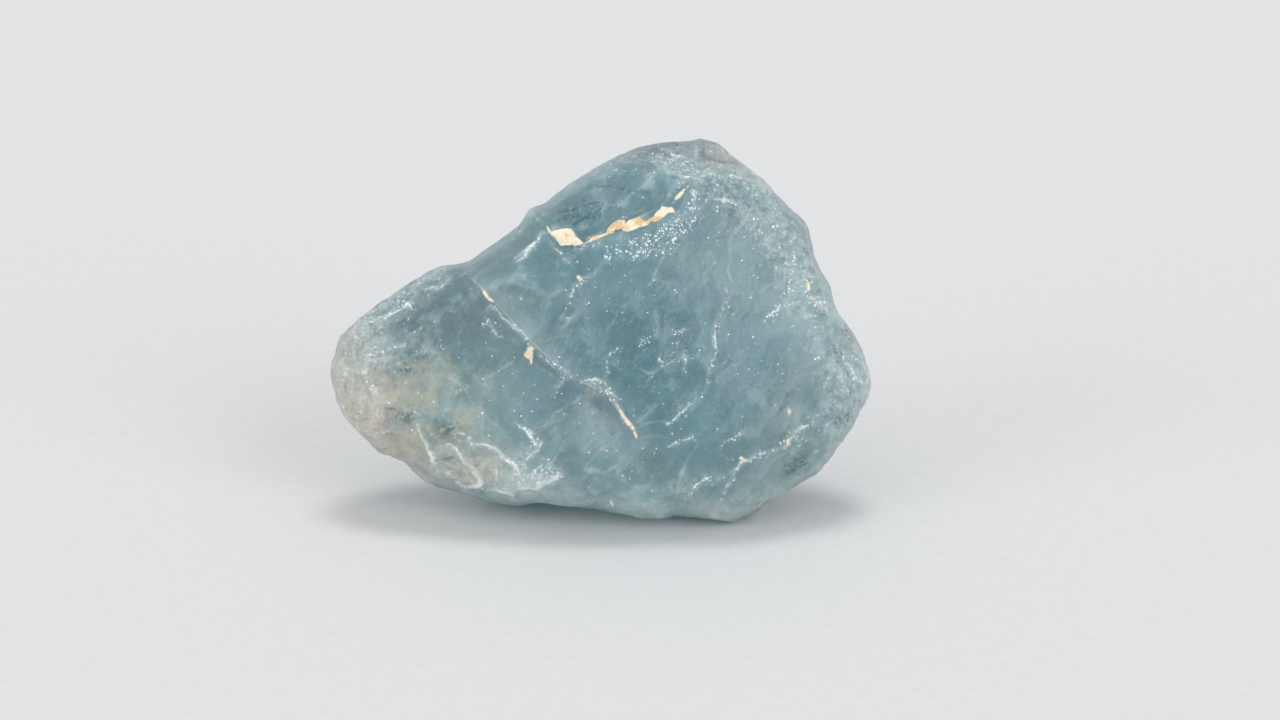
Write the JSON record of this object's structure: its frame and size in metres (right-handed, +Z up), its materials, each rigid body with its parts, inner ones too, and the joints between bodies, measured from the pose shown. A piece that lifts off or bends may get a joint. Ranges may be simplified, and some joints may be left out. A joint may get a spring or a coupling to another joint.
{
  "type": "topaz crystal",
  "caption": "Rough, worn fragment of milky pale blue topaz: tapered at one end, with fracture faces, a stepped crease and a flat cleavage face that it rests on.",
  "frame": {"origin": "centre of the bounding box's base, level with the cleavage face that the stone rests on", "axes": "+X along the stone from its tapered end to its blunt end, +Y from the broad front face to the back, +Z up"},
  "size_m": [0.0542, 0.0256, 0.0368],
  "materials": {
    "topaz": "milky and translucent, waxy where worn, glassy in the chips"
  },
  "bodies": {
    "root": {"topaz_crystal": "topaz"}
  },
  "joints": []
}
